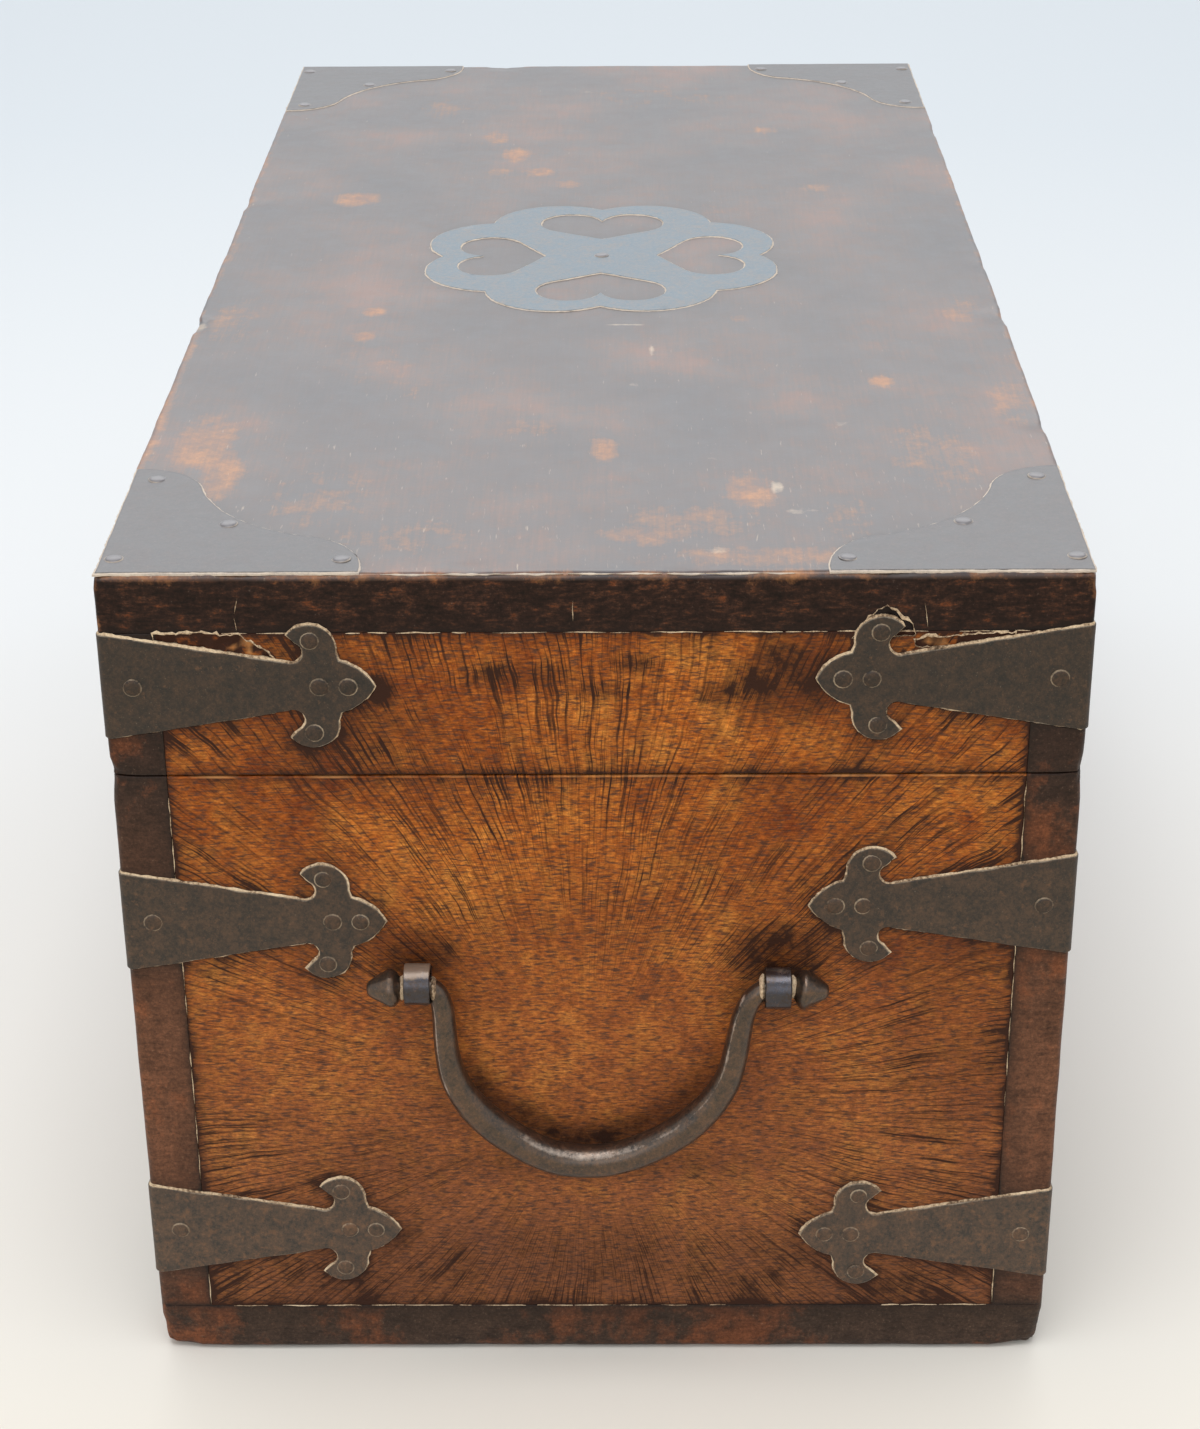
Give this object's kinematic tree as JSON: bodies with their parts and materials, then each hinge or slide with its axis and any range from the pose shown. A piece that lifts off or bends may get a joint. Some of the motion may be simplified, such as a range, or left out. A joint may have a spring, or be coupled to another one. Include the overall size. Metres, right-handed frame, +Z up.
{
  "type": "small lift-lid chest",
  "caption": "Low wooden chest with a hinged lift-up lid, let-in iron corner straps, a pierced rosette on the lid and a forged swinging bail on each end.",
  "frame": {"origin": "centre of the underside, on the surface the chest stands on", "axes": "+X along the length towards the right end, -Y towards the front with the keyhole, +Z up"},
  "size_m": [0.5246, 0.2483, 0.2329],
  "materials": {
    "border_wood": "dark stained hardwood, old oil finish with reddish worn patches",
    "end_wood": "orange-brown hardwood, oiled, with fine dark strokes",
    "top_wood": "dark brown hardwood, worn satin sheen",
    "strap_iron": "blackened wrought sheet iron, matt, slightly rusty",
    "plate_iron": "blackened sheet iron, dull sheen",
    "rosette_iron": "blued sheet iron, satin",
    "forged_iron": "forged iron, hand-worn",
    "rubbed_iron": "bare iron rubbed bright, slightly rusty",
    "lock_iron": "filed iron, dull",
    "nail_iron": "forged iron nail heads, brown"
  },
  "bodies": {
    "body": {"bottom_board": "border_wood", "front_board": "border_wood", "back_board": "border_wood", "left_end_board": "end_wood", "right_end_board": "end_wood", "middle_strap_left_front": "strap_iron", "middle_strap_left_back": "strap_iron", "middle_strap_right_front": "strap_iron", "middle_strap_right_back": "strap_iron", "low_strap_left_front": "strap_iron", "low_strap_left_back": "strap_iron", "low_strap_right_front": "strap_iron", "low_strap_right_back": "strap_iron", "left_bail_eye_front": "rubbed_iron", "left_bail_eye_back": "rubbed_iron", "right_bail_eye_front": "rubbed_iron", "right_bail_eye_back": "rubbed_iron", "left_hinge_body_leaf": "strap_iron", "left_hinge_pin": "rubbed_iron", "right_hinge_body_leaf": "strap_iron", "right_hinge_pin": "rubbed_iron", "keyhole_plate": "strap_iron", "lock_case": "lock_iron", "body_strap_nails": "nail_iron", "hinge_body_nails": "nail_iron", "keyhole_plate_nails": "nail_iron", "lock_case_nails": "nail_iron", "bottom_board_nails": "nail_iron"},
    "lid": {"lid_top_board": "top_wood", "lid_front_rail": "border_wood", "lid_back_rail": "border_wood", "lid_left_end": "end_wood", "lid_right_end": "end_wood", "lid_strap_left_front": "strap_iron", "lid_strap_left_back": "strap_iron", "lid_strap_right_front": "strap_iron", "lid_strap_right_back": "strap_iron", "top_plate_left_front": "plate_iron", "top_plate_left_back": "plate_iron", "top_plate_right_front": "plate_iron", "top_plate_right_back": "plate_iron", "top_rosette": "rosette_iron", "left_hinge_lid_leaf": "strap_iron", "right_hinge_lid_leaf": "strap_iron", "lid_hook_plate": "lock_iron", "lid_strap_nails": "nail_iron", "top_plate_nails": "nail_iron", "rosette_nail": "nail_iron", "hinge_lid_nails": "nail_iron", "hook_plate_nails": "nail_iron"},
    "left_bail": {"left_bail": "forged_iron"},
    "right_bail": {"right_bail": "forged_iron"},
    "lock_bolt": {"lock_bolt": "rubbed_iron"}
  },
  "joints": [
    {"name": "lid_hinge", "type": "hinge", "parent": "body", "child": "lid", "pos_m": [0, 0.1238, 0.1778], "axis": [-1, 0, 0], "range_deg": [0, 180]},
    {"name": "left_bail_swing", "type": "hinge", "parent": "body", "child": "left_bail", "pos_m": [-0.257, 0, 0.12075], "axis": [0, 1, 0], "range_deg": [-2, 178]},
    {"name": "right_bail_swing", "type": "hinge", "parent": "body", "child": "right_bail", "pos_m": [0.257, 0, 0.12075], "axis": [0, -1, 0], "range_deg": [-2, 178]},
    {"name": "lock_bolt_slide", "type": "slide", "parent": "body", "child": "lock_bolt", "axis": [1, 0, 0], "range_m": [0, 0.008]}
  ]
}
